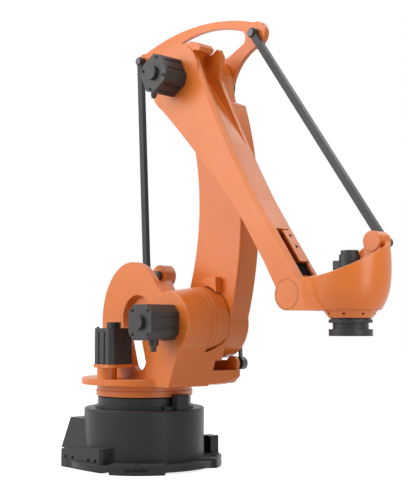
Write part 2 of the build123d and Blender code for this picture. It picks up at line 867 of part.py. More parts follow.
with BuildPart() as level_link:
    with BuildSketch(side(plate_far, elbow_x, elbow_z)):
        with BuildLine():
            ThreePointArc(
                (link_rear_top_x, link_rear_top_z),
                (link_crest_x, link_crest_z),
                (link_nape_x, link_nape_z),
            )
            Polyline(
                (link_nape_x, link_nape_z),
                (link_front_top_x, link_front_top_z),
                (front_pivot_x, front_pivot_z),
                (link_leg_out_x, link_leg_out_z),
            )
            ThreePointArc(
                (link_leg_out_x, link_leg_out_z),
                (link_leg_mid_x, link_leg_mid_z),
                (link_leg_in_x, link_leg_in_z),
            )
            Polyline(
                (link_leg_in_x, link_leg_in_z),
                (0, 0),
                (link_heel_x, link_heel_z),
                (link_tail_x, link_tail_z),
                (rear_pivot_x, rear_pivot_z),
                (link_rear_top_x, link_rear_top_z),
            )
        make_face()
        Circle(link_hub_r)
        with Locations((front_pivot_x, front_pivot_z)):
            Circle(link_front_r)
        with Locations((rear_pivot_x, rear_pivot_z)):
            Circle(link_rear_r)
        with BuildLine():
            ThreePointArc(
                (window_rear_x, window_rear_z),
                (window_crest_x, window_crest_z),
                (window_front_x, window_front_z),
            )
            ThreePointArc(
                (window_front_x, window_front_z),
                (window_brow_x, window_brow_z),
                (window_toe_x, window_toe_z),
            )
            Polyline(
                (window_toe_x, window_toe_z),
                (window_leg_x, window_leg_z),
                (window_hub_x, window_hub_z),
                (window_rear_x, window_rear_low),
                (window_rear_x, window_rear_z),
            )
        make_face(mode=Mode.SUBTRACT)
    extrude(amount=plate_thick)
    with BuildSketch(side(link_boss_far, elbow_x, elbow_z)):
        with Locations((front_pivot_x, front_pivot_z)):
            Circle(link_front_r)
        with Locations((rear_pivot_x, rear_pivot_z)):
            Circle(link_rear_r)
    extrude(amount=link_boss_far - plate_near)
    with BuildSketch(side(link_boss_far + link_step, elbow_x, elbow_z)):
        with Locations((front_pivot_x, front_pivot_z)):
            Circle(link_front_r - link_step_r)
        with Locations((rear_pivot_x, rear_pivot_z)):
            Circle(link_rear_r - link_step_r)
    extrude(amount=link_step)
    with BuildSketch(side(plate_near, elbow_x, elbow_z)):
        Circle(link_hub_r)
    extrude(amount=plate_near - link_hub_near)
    with BuildSketch(side(link_boss_far + link_step, elbow_x, elbow_z)):
        Circle(elbow_shaft_r + pin_fit)
        with Locations((front_pivot_x, front_pivot_z), (rear_pivot_x, rear_pivot_z)):
            Circle(pin_r)
    extrude(amount=link_boss_far + link_step - link_hub_near, mode=Mode.SUBTRACT)
level_link.part.label = "level_link"
export_step(level_link.part, "parts/level_link.step")

with BuildPart() as front_link_pin:
    with BuildSketch(side(link_boss_far, link_front_x, link_front_z)):
        Circle(pin_r)
    extrude(amount=link_boss_far - rod_near + side_gap)
    with BuildSketch(side(rod_near - side_gap, link_front_x, link_front_z)):
        Circle(cap_r)
    extrude(amount=cap_thick)
front_link_pin.part.label = "front_link_pin"
export_step(front_link_pin.part, "parts/front_link_pin.step")

with BuildPart() as rear_link_pin:
    with BuildSketch(side(link_boss_far, link_rear_x, link_rear_z)):
        Circle(pin_r)
    extrude(amount=link_boss_far - rod_near + side_gap)
    with BuildSketch(side(rod_near - side_gap, link_rear_x, link_rear_z)):
        Circle(cap_r)
    extrude(amount=cap_thick)
rear_link_pin.part.label = "rear_link_pin"
export_step(rear_link_pin.part, "parts/rear_link_pin.step")

# Two levelling rods: flat bars with round eyes
with BuildPart() as rear_rod:
    with BuildSketch(tilted(post_x, rod_far, post_z, arm_angle)):
        with Locations((lower_arm_length / 2, 0)):
            Rectangle(lower_arm_length, bar_width)
        with Locations((0, 0), (lower_arm_length, 0)):
            Circle(eye_r)
            Circle(pin_r + pin_fit, mode=Mode.SUBTRACT)
    extrude(amount=rod_thick)
rear_rod.part.label = "rear_rod"
export_step(rear_rod.part, "parts/rear_rod.step")

with BuildPart() as front_rod:
    with BuildSketch(tilted(link_front_x, rod_far, link_front_z, forearm_pitch)):
        with Locations((forearm_length / 2, 0)):
            Rectangle(forearm_length, bar_width)
        with Locations((0, 0), (forearm_length, 0)):
            Circle(eye_r)
            Circle(pin_r + pin_fit, mode=Mode.SUBTRACT)
    extrude(amount=rod_thick)
front_rod.part.label = "front_rod"
export_step(front_rod.part, "parts/front_rod.step")

# Forearm: tapering casting from the elbow to the wrist, with a scooped top
fore_head_r = 147
fore_end_r = 58
fore_mid_share = 0.295
fore_thin_share = 0.64
fore_under_mid = 86
fore_under_thin = 42
fore_under_slim = 49
fore_heel = 59
fore_heel_run = 66
fore_top_mid = 93
fore_top_thin = 58
fore_top_end = 58
fore_end_run = 260
fore_taper_share = 0.42
fore_slim_run = 190
fore_slim_half = 54
fore_reach = 200
fore_bevel = 13
wrist_pin_r = 25
scoop_near = -38
scoop_far = 44
scoop_rear = -52
scoop_rear_z = 118
scoop_low_at = 52
scoop_low = 72
scoop_gap_near = 22
scoop_gap_z = 108
lip_near = -56
lip_rear_x = -82
lip_rear_z = 122
lip_back_x = -52
lip_back_z = 164
lip_crest_x = -20
lip_crest_z = 187
lip_end_x = 6
lip_end_z = 190
lip_hook_x = 12
lip_hook_z = 172
lip_throat_x = -14
lip_throat_z = 152
prong_rear_x = -14
prong_tip_x = -4
prong_tip_z = 189
prong_crest_x = 10
prong_crest_z = 199
prong_brow_x = 46
prong_brow_z = 193
prong_cheek_x = 72
prong_cheek_z = 158
prong_foot_x = 114
prong_foot_z = 126
fore_mid_at = fore_mid_share * forearm_length
fore_thin_at = fore_thin_share * forearm_length
fore_end_at = forearm_length - fore_end_run
fore_slim_at = forearm_length - fore_slim_run
fore_side = tilted(elbow_x, 0, elbow_z, forearm_pitch)
fore_top = Plane(origin=fore_side.origin, x_dir=fore_side.x_dir, z_dir=fore_side.y_dir)

# Cover plate on the top of the forearm near the wrist, beside a deep slot
cover_end = 108
cover_length = 150
cover_near = -8
cover_far = 44
cover_thick = 7
cover_seat = 4
slot_end = 42
slot_length = 229
slot_near = -32
slot_far = 36
slot_floor = -14

with BuildPart() as forearm:
    with BuildSketch(fore_side.offset(-forearm_half)):
        with BuildLine():
            ThreePointArc(
                (0, -fore_head_r),
                (fore_mid_at, -fore_under_mid),
                (fore_thin_at, -fore_under_thin),
            )
            Polyline(
                (fore_thin_at, -fore_under_thin),
                (fore_slim_at, -fore_under_slim),
                (forearm_length - fore_heel_run, -fore_heel),
                (forearm_length, -fore_end_r),
                (forearm_length, fore_end_r),
                (fore_end_at, fore_top_end),
                (fore_thin_at, fore_top_thin),
            )
            ThreePointArc(
                (fore_thin_at, fore_top_thin),
                (fore_mid_at, fore_top_mid),
                (0, fore_head_r),
            )
            Line((0, fore_head_r), (0, -fore_head_r))
        make_face()
        Circle(fore_head_r)
    extrude(amount=2 * forearm_half)
    with BuildSketch(fore_top):
        with BuildLine():
            Polyline(
                (-fore_reach, -forearm_half),
                (fore_taper_share * forearm_length, -forearm_half),
                (fore_slim_at, -fore_slim_half),
                (forearm_length + fore_reach, -fore_slim_half),
                (forearm_length + fore_reach, fore_slim_half),
                (fore_slim_at, fore_slim_half),
                (fore_taper_share * forearm_length, forearm_half),
                (-fore_reach, forearm_half),
                close=True,
            )
        make_face()
    extrude(amount=fore_reach, both=True, mode=Mode.INTERSECT)
    near_ridge = [
        edge
        for edge in forearm.edges().filter_by_position(Axis.Y, -forearm_half, -fore_slim_half)
        if fore_side.to_local_coords(edge.center()).Y > fore_under_thin
        and fore_mid_at / 2 < fore_side.to_local_coords(edge.center()).X < fore_slim_at
    ]
    chamfer(near_ridge, length=fore_bevel)
    with BuildSketch(fore_side.offset(-fore_slim_half)):
        with Locations((forearm_length, 0)):
            Circle(fore_end_r)
    extrude(amount=2 * fore_slim_half)
    with BuildSketch(fore_side.offset(-scoop_far)):
        with BuildLine():
            Polyline(
                (scoop_rear, fore_head_r + fore_bevel),
                (scoop_rear, scoop_rear_z),
                (scoop_low_at, scoop_low),
            )
            ThreePointArc(
                (scoop_low_at, scoop_low),
                (fore_mid_at, (scoop_low + fore_top_mid) / 2),
                (fore_thin_at, fore_top_thin),
            )
            Line((fore_thin_at, fore_top_thin), (fore_mid_at, fore_head_r + fore_bevel))
            Line((fore_mid_at, fore_head_r + fore_bevel), (scoop_rear, fore_head_r + fore_bevel))
        make_face()
    extrude(amount=scoop_far - scoop_near, mode=Mode.SUBTRACT)
    with BuildSketch(fore_side.offset(-scoop_far)):
        with BuildLine():
            Polyline(
                (-fore_reach, fore_reach),
                (-fore_reach, scoop_gap_z),
                (scoop_low_at, scoop_gap_z),
                (scoop_low_at, fore_reach),
                close=True,
            )
        make_face()
    extrude(amount=scoop_far - scoop_gap_near, mode=Mode.SUBTRACT)
    with BuildSketch(fore_side.offset(-scoop_gap_near)):
        with BuildLine():
            Polyline(
                (lip_rear_x, lip_rear_z),
                (lip_back_x, lip_back_z),
                (lip_crest_x, lip_crest_z),
                (lip_end_x, lip_end_z),
                (lip_hook_x, lip_hook_z),
                (lip_throat_x, lip_throat_z),
                (lip_throat_x, scoop_low),
                (lip_rear_x, scoop_low),
                close=True,
            )
        make_face()
    extrude(amount=scoop_gap_near - lip_near)
    with BuildSketch(fore_side.offset(-forearm_half)):
        with BuildLine():
            Polyline(
                (prong_rear_x, scoop_low),
                (prong_foot_x, scoop_low),
                (prong_foot_x, prong_foot_z),
                (prong_cheek_x, prong_cheek_z),
                (prong_brow_x, prong_brow_z),
                (prong_crest_x, prong_crest_z),
                (prong_tip_x, prong_tip_z),
                close=True,
            )
        make_face()
    extrude(amount=forearm_half - scoop_far)
    with BuildSketch(fore_side.offset(-slot_far)):
        with BuildLine():
            Polyline(
                (forearm_length - slot_end, slot_floor),
                (forearm_length - slot_end, fore_reach),
                (forearm_length - slot_end - slot_length, fore_reach),
                (forearm_length - slot_end - slot_length, slot_floor),
                close=True,
            )
        make_face()
    extrude(amount=slot_far - slot_near, mode=Mode.SUBTRACT)
    with BuildSketch(fore_side.offset(-cover_far - cover_seat)):
        with BuildLine():
            Polyline(
                (forearm_length - cover_end, fore_end_r),
                (forearm_length - cover_end, fore_reach),
                (forearm_length - cover_end - cover_length, fore_reach),
                (forearm_length - cover_end - cover_length, fore_end_r),
                close=True,
            )
        make_face()
    extrude(amount=cover_far + cover_seat - cover_near, mode=Mode.SUBTRACT)
    with BuildSketch(side(forearm_half, elbow_x, elbow_z)):
        Circle(elbow_shaft_r + pin_fit)
    extrude(amount=forearm_half - shaft_near + spigot_gap, mode=Mode.SUBTRACT)
    with BuildSketch(side(forearm_half, wrist_x, wrist_z)):
        Circle(wrist_pin_r + pin_fit)
    extrude(amount=2 * forearm_half, mode=Mode.SUBTRACT)
forearm.part.label = "forearm"
export_step(forearm.part, "parts/forearm.step")

with BuildPart() as forearm_cover:
    with BuildSketch(fore_side.offset(-cover_far)):
        with BuildLine():
            Polyline(
                (forearm_length - cover_end, fore_end_r),
                (forearm_length - cover_end, fore_end_r + cover_thick),
                (forearm_length - cover_end - cover_length, fore_end_r + cover_thick),
                (forearm_length - cover_end - cover_length, fore_end_r),
                close=True,
            )
        make_face()
    extrude(amount=cover_far - cover_near)
forearm_cover.part.label = "forearm_cover"
export_step(forearm_cover.part, "parts/forearm_cover.step")

# Elbow motor on the near face of the forearm
elbow_motor_end = -178
elbow_motor_size = 142
elbow_motor_roll = 28

with BuildPart() as elbow_motor:
    with BuildSketch(side(-forearm_half, elbow_x, elbow_z)):
        motor_section(elbow_motor_size, shoulder_motor_corner, elbow_motor_roll)
    extrude(amount=-forearm_half - elbow_motor_end)
    with BuildSketch(side(elbow_motor_end + motor_end_plate, elbow_x, elbow_z)):
        Rectangle(elbow_motor_size, elbow_motor_size, rotation=elbow_motor_roll)
        chamfer(vertices(), shoulder_motor_corner)
    extrude(amount=motor_end_plate)
elbow_motor.part.label = "elbow_motor"
export_step(elbow_motor.part, "parts/elbow_motor.step")

with BuildPart() as elbow_motor_cap:
    with BuildSketch(side(elbow_motor_end, elbow_x, elbow_z)):
        Circle(motor_cap_r)
    extrude(amount=motor_cap_out)
elbow_motor_cap.part.label = "elbow_motor_cap"
export_step(elbow_motor_cap.part, "parts/elbow_motor_cap.step")

# Wrist housing: two ears around the forearm end and an open bowl
bowl_bottom = wrist_z - fore_end_r
bowl_bottom_r = 107
bowl_low_rise = 64
bowl_low_r = 136
bowl_mid_rise = 145
bowl_mid_r = 145
bowl_high_rise = 230
bowl_high_r = 141
bowl_top_rise = 290
bowl_top_r = 130
bowl_back = 70
bowl_corner = 20
bowl_wall = 14
bowl_blend = 1.5
bowl_floor = 30
rim_x = 80
rim_rise = 56
rim_slope_x = 0.2
rim_slope_y = 0.42
back_rim_x = 45
back_rim_slope = 0.85
slot_front = 95
lug_near = 92
lug_far = 156
lug_r = 38
lug_post_half = 36
lug_post_far = 138
lug_post_drop = 150
lug_cap = 14
ear_blind = 12
lug_blind = 14
ear_line = 1.5
ear_line_r = 2


def bowl_section(radius, inset):
    """Plan outline of the wrist housing at one height."""
    with Locations((tool_x, 0)):
        Circle(radius - inset)
    with Locations(
        (wrist_x + bowl_back + inset, wrist_half - inset - bowl_corner),
        (wrist_x + bowl_back + inset, bowl_corner + inset - wrist_half),
    ):
        Circle(bowl_corner)
    make_hull()


tool_axis = Axis((tool_x, 0, 0), (0, 0, 1))
rim_normal = (-rim_slope_x, -rim_slope_y, 1)
rim_plane = Plane(origin=(wrist_x + rim_x, -wrist_half, wrist_z + rim_rise), z_dir=rim_normal)
back_normal = (-back_rim_slope, 0, 1)
back_plane = Plane(origin=(wrist_x + back_rim_x, 0, wrist_z + rim_rise), z_dir=back_normal)

with BuildPart() as wrist_housing:
    with BuildSketch(floor(bowl_bottom)):
        bowl_section(bowl_bottom_r, bowl_blend)
    with BuildSketch(floor(bowl_bottom + bowl_low_rise)):
        bowl_section(bowl_low_r, bowl_blend)
    with BuildSketch(floor(bowl_bottom + bowl_mid_rise)):
        bowl_section(bowl_mid_r, bowl_blend)
    with BuildSketch(floor(bowl_bottom + bowl_top_rise)):
        bowl_section(bowl_top_r, bowl_blend)
    loft(ruled=True)
    with BuildSketch(side(0, tool_x, bowl_bottom)):
        with BuildLine():
            Line((0, 0), (bowl_bottom_r, 0))
            Spline(
                (bowl_bottom_r, 0),
                (bowl_low_r, bowl_low_rise),
                (bowl_mid_r, bowl_mid_rise),
                (bowl_high_r, bowl_high_rise),
                (bowl_top_r, bowl_top_rise),
            )
            Line((bowl_top_r, bowl_top_rise), (0, bowl_top_rise))
            Line((0, bowl_top_rise), (0, 0))
        make_face()
    revolve(axis=tool_axis)
    with BuildSketch(floor(bowl_bottom + bowl_floor)):
        bowl_section(bowl_bottom_r, bowl_wall)
    with BuildSketch(floor(bowl_bottom + bowl_low_rise)):
        bowl_section(bowl_low_r, bowl_wall)
    with BuildSketch(floor(bowl_bottom + bowl_mid_rise)):
        bowl_section(bowl_mid_r, bowl_wall)
    with BuildSketch(floor(bowl_bottom + bowl_top_rise)):
        bowl_section(bowl_top_r, bowl_wall)
    loft(ruled=True, mode=Mode.SUBTRACT)
    with BuildSketch(side(0, tool_x, bowl_bottom)):
        with BuildLine():
            Line((0, bowl_floor), (bowl_bottom_r - bowl_wall, bowl_floor))
            Spline(
                (bowl_bottom_r - bowl_wall, bowl_floor),
                (bowl_low_r - bowl_wall, bowl_low_rise),
                (bowl_mid_r - bowl_wall, bowl_mid_rise),
                (bowl_high_r - bowl_wall, bowl_high_rise),
                (bowl_top_r - bowl_wall, bowl_top_rise),
            )
            Line((bowl_top_r - bowl_wall, bowl_top_rise), (0, bowl_top_rise))
            Line((0, bowl_top_rise), (0, bowl_floor))
        make_face()
    revolve(axis=tool_axis, mode=Mode.SUBTRACT)
    with BuildSketch(rim_plane):
        Rectangle(4 * bowl_top_rise, 4 * bowl_top_rise)
    extrude(amount=2 * bowl_top_rise, mode=Mode.SUBTRACT)
    with BuildSketch(back_plane):
        Rectangle(4 * bowl_top_rise, 4 * bowl_top_rise)
    extrude(amount=2 * bowl_top_rise, mode=Mode.SUBTRACT)
    with BuildSketch(side(wrist_half, wrist_x, wrist_z)):
        Circle(fore_end_r)
        with Locations((slot_front / 2, 0)):
            Rectangle(slot_front, 2 * fore_end_r)
    extrude(amount=wrist_half - ear_inner)
    with BuildSketch(side(-ear_inner, wrist_x, wrist_z)):
        Circle(fore_end_r)
        with Locations((slot_front / 2, 0)):
            Rectangle(slot_front, 2 * fore_end_r)
    extrude(amount=wrist_half - ear_inner)
    with BuildSketch(floor(bowl_bottom, wrist_x)):
        with Locations((slot_front / 2 - fore_end_r, 0)):
            Rectangle(slot_front + 2 * fore_end_r, 2 * ear_inner)
    extrude(amount=bowl_top_rise, mode=Mode.SUBTRACT)
    with BuildSketch(side(lug_far, lug_x, lug_z)):
        Circle(lug_r)
    extrude(amount=lug_far - lug_near)
    with BuildSketch(side(lug_post_far, lug_x, lug_z)):
        with Locations((0, -lug_post_drop / 2)):
            Rectangle(2 * lug_post_half, lug_post_drop)
    extrude(amount=lug_post_far - lug_near)
    with BuildSketch(side(lug_far, lug_x, lug_z)):
        Circle(pin_r)
    extrude(amount=lug_far - lug_near - lug_blind, mode=Mode.SUBTRACT)
    with BuildSketch(side(wrist_half, wrist_x, wrist_z)):
        Circle(wrist_pin_r)
    extrude(amount=2 * wrist_half - ear_blind, mode=Mode.SUBTRACT)
    with BuildSketch(side(ear_line - wrist_half, wrist_x, wrist_z)):
        Circle(fore_end_r - ear_line_r)
        Circle(fore_end_r - 2 * ear_line_r, mode=Mode.SUBTRACT)
    extrude(amount=ear_line, mode=Mode.SUBTRACT)
wrist_housing.part.label = "wrist_housing"
export_step(wrist_housing.part, "parts/wrist_housing.step")

with BuildPart() as wrist_pin:
    with BuildSketch(side(wrist_half, wrist_x, wrist_z)):
        Circle(wrist_pin_r)
    extrude(amount=2 * wrist_half - ear_blind)
wrist_pin.part.label = "wrist_pin"
export_step(wrist_pin.part, "parts/wrist_pin.step")

with BuildPart() as wrist_lug_pin:
    with BuildSketch(side(rod_far + side_gap, lug_x, lug_z)):
        Circle(pin_r)
    extrude(amount=rod_far + side_gap - lug_near - lug_blind)
    with BuildSketch(side(rod_far + side_gap + lug_cap, lug_x, lug_z)):
        Circle(cap_r)
    extrude(amount=lug_cap)
wrist_lug_pin.part.label = "wrist_lug_pin"
export_step(wrist_lug_pin.part, "parts/wrist_lug_pin.step")

# Cone ring below the wrist, and the tool motor in the bowl
cone_top_r = 97
cone_bottom_r = 77
cone_drop = 28
tool_shaft_r = 35
tool_shaft_gap = 2

with BuildPart() as wrist_cone:
    with BuildSketch(floor(bowl_bottom, tool_x)):
        Circle(cone_top_r)
    with BuildSketch(floor(bowl_bottom - cone_drop, tool_x)):
        Circle(cone_bottom_r)
    loft()
    with BuildSketch(floor(bowl_bottom, tool_x)):
        Circle(tool_shaft_r + pin_fit)
    extrude(amount=-cone_drop, mode=Mode.SUBTRACT)
wrist_cone.part.label = "wrist_cone"
export_step(wrist_cone.part, "parts/wrist_cone.step")

tool_motor_r = 38
tool_motor_rise = 195
tool_motor_top = bowl_bottom + tool_motor_rise
tool_cap_r = 32
tool_cap_out = 15
tool_plug = 52
tool_plug_out = 56
tool_plug_drop = 20

with BuildPart() as tool_motor:
    with BuildSketch(floor(bowl_bottom + bowl_floor, tool_x)):
        Circle(tool_motor_r)
    extrude(amount=tool_motor_top - bowl_bottom - bowl_floor)
    with BuildSketch(floor(bowl_bottom + bowl_floor, tool_x)):
        with Locations((-tool_plug_out / 2, 0)):
            Rectangle(tool_plug_out, tool_plug)
    extrude(amount=tool_motor_top - tool_plug_drop - bowl_bottom - bowl_floor)
tool_motor.part.label = "tool_motor"
export_step(tool_motor.part, "parts/tool_motor.step")

with BuildPart() as tool_motor_cap:
    with BuildSketch(floor(tool_motor_top, tool_x)):
        Circle(tool_cap_r)
    extrude(amount=tool_cap_out)
tool_motor_cap.part.label = "tool_motor_cap"
export_step(tool_motor_cap.part, "parts/tool_motor_cap.step")

# Tool flange: two discs with a groove, a pilot bore and a bolt circle
flange_gap = 5
flange_r = 77
flange_groove_r = 63
flange_upper = 12
flange_groove = 22
flange_lower = 24
pilot_r = 40
pilot_depth = 8
tool_bolt_circle_r = 62.5
tool_bolt_r = 5
tool_bolt_depth = 18
tool_bolt_count = 6
flange_top = bowl_bottom - cone_drop - flange_gap
flange_bottom = flange_top - flange_upper - flange_groove - flange_lower

with BuildPart() as tool_flange:
    with BuildSketch(floor(flange_bottom, tool_x)):
        Circle(flange_groove_r)
    extrude(amount=flange_top - flange_bottom)
    with BuildSketch(floor(flange_bottom, tool_x)):
        Circle(flange_r)
    extrude(amount=flange_lower)
    with BuildSketch(floor(flange_top, tool_x)):
        Circle(flange_r)
    extrude(amount=-flange_upper)
    with BuildSketch(floor(flange_top, tool_x)):
        Circle(tool_shaft_r)
    extrude(amount=flange_gap + cone_drop - tool_shaft_gap)
    with BuildSketch(floor(flange_bottom, tool_x)):
        Circle(pilot_r)
    extrude(amount=pilot_depth, mode=Mode.SUBTRACT)
    with BuildSketch(floor(flange_bottom, tool_x)):
        with PolarLocations(tool_bolt_circle_r, tool_bolt_count):
            Circle(tool_bolt_r)
    extrude(amount=tool_bolt_depth, mode=Mode.SUBTRACT)
tool_flange.part.label = "tool_flange"
export_step(tool_flange.part, "parts/tool_flange.step")
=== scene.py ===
"""Palletizing robot arm: finishes, fasteners, studio light and the camera of the photograph.

Lengths are in metres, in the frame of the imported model.
"""

import json
from math import cos, pi, radians, sin, tan

import bmesh
import bpy
from mathutils import Matrix, Vector


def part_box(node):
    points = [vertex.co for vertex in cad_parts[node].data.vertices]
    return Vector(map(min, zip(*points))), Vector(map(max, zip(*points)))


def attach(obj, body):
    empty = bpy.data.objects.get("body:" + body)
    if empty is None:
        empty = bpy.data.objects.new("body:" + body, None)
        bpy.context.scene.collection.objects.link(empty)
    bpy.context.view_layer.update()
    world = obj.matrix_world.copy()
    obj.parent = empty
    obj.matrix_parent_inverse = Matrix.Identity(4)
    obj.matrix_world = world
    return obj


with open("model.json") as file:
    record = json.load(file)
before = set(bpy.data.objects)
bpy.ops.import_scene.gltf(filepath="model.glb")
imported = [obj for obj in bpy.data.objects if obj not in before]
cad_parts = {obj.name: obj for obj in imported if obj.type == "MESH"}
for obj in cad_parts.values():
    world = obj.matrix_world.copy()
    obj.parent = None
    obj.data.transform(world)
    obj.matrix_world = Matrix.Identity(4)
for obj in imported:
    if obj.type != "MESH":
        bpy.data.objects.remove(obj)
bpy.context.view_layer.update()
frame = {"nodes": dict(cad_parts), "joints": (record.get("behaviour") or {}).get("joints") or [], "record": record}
nodes = frame["nodes"]

ALONG_X = Vector((1, 0, 0))
ALONG_Y = Vector((0, 1, 0))
ALONG_Z = Vector((0, 0, 1))


# Finishes

# Each paint has its colour, the cloudy tone in it and a lighter tone for its rubbed edges, which is partly real
# wear and partly a painted highlight along the edges
ORANGE = (0.65, 0.156, 0.016), (0.62, 0.144, 0.014), (0.72, 0.28, 0.10)
CHARCOAL = (0.021, 0.021, 0.0215), (0.018, 0.018, 0.0185), (0.09, 0.09, 0.09)
BLACK = (0.020, 0.0175, 0.0165), (0.016, 0.0145, 0.014), (0.07, 0.065, 0.06)
GREY = (0.026, 0.026, 0.0265), (0.022, 0.022, 0.0225), (0.13, 0.13, 0.13)
STEEL = (0.10, 0.10, 0.103), (0.08, 0.08, 0.083), (0.24, 0.24, 0.24)
# The next colour is near black: painted shade for the inside of small holes, recesses and openings
HOLE_SHADE = (0.006, 0.006, 0.006), (0.004, 0.004, 0.004), (0.02, 0.02, 0.02)
SCREW = (0.045, 0.044, 0.044), (0.035, 0.035, 0.035), (0.14, 0.14, 0.14)
DUST = (0.42, 0.36, 0.31)

# A scale is in waves per metre, and a span says where an effect starts and where it is full
CLOUD_SCALE = 5.0
CLOUD_SPAN = (0.3, 0.7)
EDGE_ROUND = 0.003
EDGE_SAMPLES = 4
EDGE_SPAN = (0.97, 0.8)
# The rub on edges stands partly for wear and partly for a painted highlight along the edges
RUB_AND_HIGHLIGHT_SCALE = 38.0
RUB_AND_HIGHLIGHT_SPAN = (0.4, 0.62)
RUB_AND_HIGHLIGHT_SHARE = 0.7
DUST_SCALE = 22.0
DUST_SPAN = (0.5, 1.0)
DUST_SHARE = 0.22
SMEAR_SCALE = 14.0
SMEAR_LESS = 0.06
SMEAR_MORE = 0.1
PAINT_GRAIN = 700.0
STEEL_GRAIN = 300.0
GRAIN_DETAIL = 2.0
GRAIN_RELIEF = 0.02
GRAIN_DEPTH = 0.001


def add_node(tree, kind, **inputs):
    """A shader node with some of its input sockets set."""
    node = tree.nodes.new(kind)
    for name, value in inputs.items():
        node.inputs[name.replace("_", " ")].default_value = value
    return node


def noise_of(tree, place, scale, detail=3.0):
    """Noise at a scale, in waves per metre."""
    noise = add_node(tree, "ShaderNodeTexNoise", Scale=scale, Detail=detail)
    tree.links.new(place, noise.inputs["Vector"])
    return noise.outputs["Fac"]


def ramp_of(tree, value, start, full):
    """0 at the start, 1 where it is full and a smooth step between."""
    ramp = add_node(tree, "ShaderNodeMapRange", From_Min=start, From_Max=full)
    ramp.interpolation_type = "SMOOTHSTEP"
    tree.links.new(value, ramp.inputs["Value"])
    return ramp.outputs["Result"]


def product(tree, first, second):
    """Two values multiplied; the second may be a number."""
    times = tree.nodes.new("ShaderNodeMath")
    times.operation = "MULTIPLY"
    tree.links.new(first, times.inputs[0])
    if isinstance(second, float):
        times.inputs[1].default_value = second
    else:
        tree.links.new(second, times.inputs[1])
    return times.outputs[0]


def mixed(tree, factor, first, second):
    """Two colours mixed by a factor; each is a socket or an RGB value."""
    mix = tree.nodes.new("ShaderNodeMix")
    mix.data_type = "RGBA"
    tree.links.new(factor, mix.inputs["Factor"])
    for colour, socket in ((first, mix.inputs[6]), (second, mix.inputs[7])):
        if isinstance(colour, tuple):
            socket.default_value = (*colour, 1.0)
        else:
            tree.links.new(colour, socket)
    return mix.outputs[2]


def finish_of(name, paint, rough, metal=0.0, shine=0.3, grain=PAINT_GRAIN):
    """A worn machine finish: cloudy colour, rubbed edges lightened partly for wear and partly as a painted
    highlight, dust on top and a fine grain.
    """
    colour, cloud_tone, worn_and_highlit = paint
    material = bpy.data.materials.new(name)
    material.use_nodes = True
    tree = material.node_tree
    surface = tree.nodes["Principled BSDF"]
    surface.inputs["Metallic"].default_value = metal
    surface.inputs["Specular IOR Level"].default_value = shine
    place = tree.nodes.new("ShaderNodeTexCoord").outputs["Object"]
    facing = tree.nodes.new("ShaderNodeNewGeometry").outputs["Normal"]
    bevel = add_node(tree, "ShaderNodeBevel", Radius=EDGE_ROUND)
    bevel.samples = EDGE_SAMPLES
    rounded = bevel.outputs["Normal"]

    cloud = ramp_of(tree, noise_of(tree, place, CLOUD_SCALE), *CLOUD_SPAN)
    painted = mixed(tree, cloud, colour, cloud_tone)

    bend = tree.nodes.new("ShaderNodeVectorMath")
    bend.operation = "DOT_PRODUCT"
    tree.links.new(rounded, bend.inputs[0])
    tree.links.new(facing, bend.inputs[1])
    edge = ramp_of(tree, bend.outputs["Value"], *EDGE_SPAN)
    # Lighter tone on rubbed edges: partly real wear, partly a painted highlight along the edges
    rubbed_and_highlit = product(tree, edge, ramp_of(tree, noise_of(tree, place, RUB_AND_HIGHLIGHT_SCALE), *RUB_AND_HIGHLIGHT_SPAN))
    painted = mixed(tree, product(tree, rubbed_and_highlit, RUB_AND_HIGHLIGHT_SHARE), painted, worn_and_highlit)

    upward = tree.nodes.new("ShaderNodeSeparateXYZ")
    tree.links.new(facing, upward.inputs[0])
    topside = ramp_of(tree, upward.outputs["Z"], *DUST_SPAN)
    dusty = product(tree, topside, noise_of(tree, place, DUST_SCALE))
    painted = mixed(tree, product(tree, dusty, DUST_SHARE), painted, DUST)
    tree.links.new(painted, surface.inputs["Base Color"])

    smear = add_node(tree, "ShaderNodeMapRange", To_Min=rough - SMEAR_LESS, To_Max=rough + SMEAR_MORE)
    tree.links.new(noise_of(tree, place, SMEAR_SCALE), smear.inputs["Value"])
    tree.links.new(smear.outputs["Result"], surface.inputs["Roughness"])

    bump = add_node(tree, "ShaderNodeBump", Strength=GRAIN_RELIEF, Distance=GRAIN_DEPTH)
    tree.links.new(noise_of(tree, place, grain, GRAIN_DETAIL), bump.inputs["Height"])
    tree.links.new(rounded, bump.inputs["Normal"])
    tree.links.new(bump.outputs["Normal"], surface.inputs["Normal"])
    return material


finishes = {
    "arm_paint": finish_of("arm_paint", ORANGE, rough=0.33, shine=0.46),
    "base_paint": finish_of("base_paint", CHARCOAL, rough=0.36, shine=0.24),
    "motor_black": finish_of("motor_black", BLACK, rough=0.44, shine=0.42),
    "rod_grey": finish_of("rod_grey", GREY, rough=0.40),
    "steel": finish_of("steel", STEEL, rough=0.38, metal=0.8, grain=STEEL_GRAIN),
}
# Near-black finish for painted shade in holes, recesses and openings
hole_shade = finish_of("hole_shade", HOLE_SHADE, rough=0.8, shine=0.05)
screw_black = finish_of("screw_black", SCREW, rough=0.36, metal=0.6)

slot_of = {part["node"]: part["material_slot"] for part in frame["record"]["subparts"]}
for name, node in nodes.items():
    node.data.materials.clear()
    node.data.materials.append(finishes[slot_of[name]])


# Small pieces

SCREW_STEPS = 18
MARK_STEPS = 16
PLUG_STEPS = 20
ROUND_STEPS = 64
MARK_SUNK = 0.0005
MARK_SHOULDER = 0.0004
MARK_RISE = 0.0006


